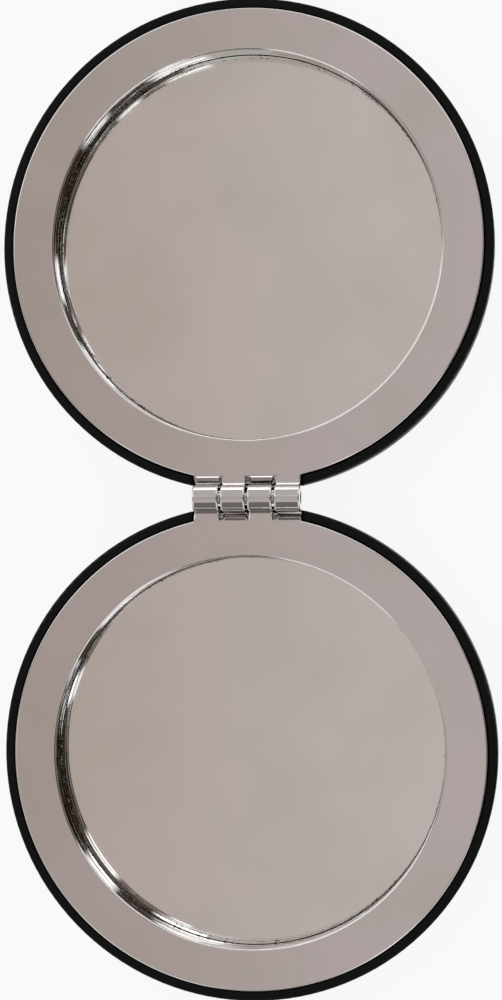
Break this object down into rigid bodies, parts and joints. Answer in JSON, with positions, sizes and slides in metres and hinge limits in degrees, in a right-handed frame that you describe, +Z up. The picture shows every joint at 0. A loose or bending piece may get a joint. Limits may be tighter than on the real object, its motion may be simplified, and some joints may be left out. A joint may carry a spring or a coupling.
{
  "type": "compact mirror",
  "caption": "Round folding compact mirror lying open: black moulded covers, bright chrome frames with recessed round mirrors, joined by a knuckle hinge on a steel pin.",
  "frame": {"origin": "on the table under the middle of the hinge, at the bottom centre of the open compact", "axes": "+X along the hinge axis, +Y from the hinge towards the lid, +Z up out of the mirrors"},
  "size_m": [0.062, 0.1256, 0.0088],
  "materials": {
    "cover_black": "satin moulded black ABS",
    "frame_chrome": "bright chrome plate on ABS",
    "mirror_glass": "silvered glass",
    "tape_white": "white foam tape",
    "magnet_nickel": "nickel plated magnet",
    "pin_steel": "drawn steel"
  },
  "bodies": {
    "base": {"base_cover": "cover_black", "base_frame": "frame_chrome", "base_mirror": "mirror_glass", "base_mirror_tape": "tape_white", "base_magnet": "magnet_nickel", "hinge_pin": "pin_steel"},
    "lid": {"lid_cover": "cover_black", "lid_frame": "frame_chrome", "lid_mirror": "mirror_glass", "lid_mirror_tape": "tape_white", "lid_magnet": "magnet_nickel"}
  },
  "joints": [
    {"name": "lid_hinge", "type": "hinge", "parent": "base", "child": "lid", "pos_m": [0, 0, 0.00715], "axis": [1, 0, 0], "range_deg": [0, 180]}
  ]
}
